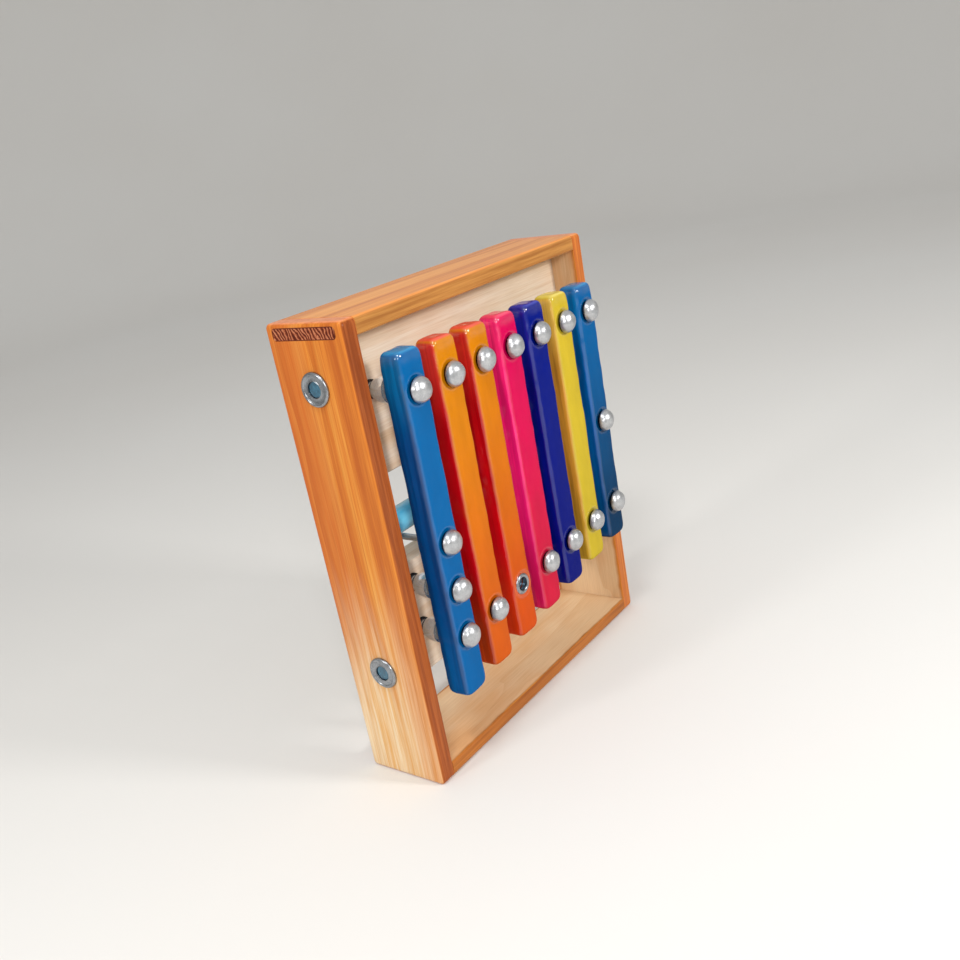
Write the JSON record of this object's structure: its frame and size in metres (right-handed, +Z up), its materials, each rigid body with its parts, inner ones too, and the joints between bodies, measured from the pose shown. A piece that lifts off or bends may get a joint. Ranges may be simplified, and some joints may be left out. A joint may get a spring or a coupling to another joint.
{
  "type": "xylophone",
  "caption": "Upright box-framed toy xylophone: chunky lacquered bars held on dome-head screws and turned spacers in front of an open wooden frame.",
  "frame": {"origin": "centre of the bottom board's underside", "axes": "+Z up along the bars, -Y towards the player, +X to the player's right, towards the shortest bar"},
  "size_m": [0.2436, 0.0816, 0.286],
  "materials": {
    "side_board_wood": "clear lacquered softwood, long grain, honey orange",
    "end_board_wood": "clear lacquered softwood, long grain, pinkish orange",
    "rail_wood": "pale satin lacquered softwood",
    "dowel_wood": "plain hardwood",
    "rod_lacquer": "sky blue gloss lacquer on a round rod",
    "bar_blue": "blue high gloss lacquer",
    "bar_orange": "orange high gloss lacquer with red flanks",
    "bar_pink": "pink high gloss lacquer",
    "bar_navy": "navy high gloss lacquer",
    "bar_yellow": "yellow high gloss lacquer with ochre flanks",
    "dome_head_metal": "satin nickel plate",
    "cup_washer_metal": "satin nickel plate, rolled rim",
    "spacer_metal": "bright chrome plate",
    "dark_steel": "blackened steel",
    "black_rubber": "matt black rubber",
    "felt": "pale grey wool felt",
    "blue_plug": "deep blue moulded plug"
  },
  "bodies": {
    "frame": {"left_side_board": "side_board_wood", "right_side_board": "side_board_wood", "top_board": "end_board_wood", "bottom_board": "end_board_wood", "corner_dowels": "dowel_wood", "upper_rail": "rail_wood", "lower_rail": "rail_wood", "rail_screws": "dark_steel", "screw_plugs": "blue_plug", "cup_washers": "cup_washer_metal", "middle_rod": "rod_lacquer", "rod_ferrules": "spacer_metal", "upper_screws": "dome_head_metal", "lower_screws": "dome_head_metal", "rod_screws": "dome_head_metal", "sunk_screw": "dark_steel", "head_washers": "dark_steel", "felt_pads": "felt", "spacer_washers": "black_rubber", "spacers": "spacer_metal"},
    "bar_1_body": {"bar_1": "bar_blue", "bar_1_grommets": "black_rubber"},
    "bar_2_body": {"bar_2": "bar_orange", "bar_2_grommets": "black_rubber"},
    "bar_3_body": {"bar_3": "bar_orange", "bar_3_grommets": "black_rubber", "eyelet": "cup_washer_metal"},
    "bar_4_body": {"bar_4": "bar_pink", "bar_4_grommets": "black_rubber"},
    "bar_5_body": {"bar_5": "bar_navy", "bar_5_grommets": "black_rubber"},
    "bar_6_body": {"bar_6": "bar_yellow", "bar_6_grommets": "black_rubber"},
    "bar_7_body": {"bar_7": "bar_blue", "bar_7_grommets": "black_rubber"}
  },
  "joints": [
    {"name": "bar_1_float", "type": "slide", "parent": "frame", "child": "bar_1_body", "axis": [0, 1, 0], "range_m": [-0.0006, 0.0006], "stiffness_N_per_m": 1500},
    {"name": "bar_2_float", "type": "slide", "parent": "frame", "child": "bar_2_body", "axis": [0, 1, 0], "range_m": [-0.0006, 0.0006], "stiffness_N_per_m": 1500},
    {"name": "bar_3_float", "type": "slide", "parent": "frame", "child": "bar_3_body", "axis": [0, 1, 0], "range_m": [-0.0006, 0.0006], "stiffness_N_per_m": 1500},
    {"name": "bar_4_float", "type": "slide", "parent": "frame", "child": "bar_4_body", "axis": [0, 1, 0], "range_m": [-0.0006, 0.0006], "stiffness_N_per_m": 1500},
    {"name": "bar_5_float", "type": "slide", "parent": "frame", "child": "bar_5_body", "axis": [0, 1, 0], "range_m": [-0.0006, 0.0006], "stiffness_N_per_m": 1500},
    {"name": "bar_6_float", "type": "slide", "parent": "frame", "child": "bar_6_body", "axis": [0, 1, 0], "range_m": [-0.0006, 0.0006], "stiffness_N_per_m": 1500},
    {"name": "bar_7_float", "type": "slide", "parent": "frame", "child": "bar_7_body", "axis": [0, 1, 0], "range_m": [-0.0006, 0.0006], "stiffness_N_per_m": 1500}
  ]
}
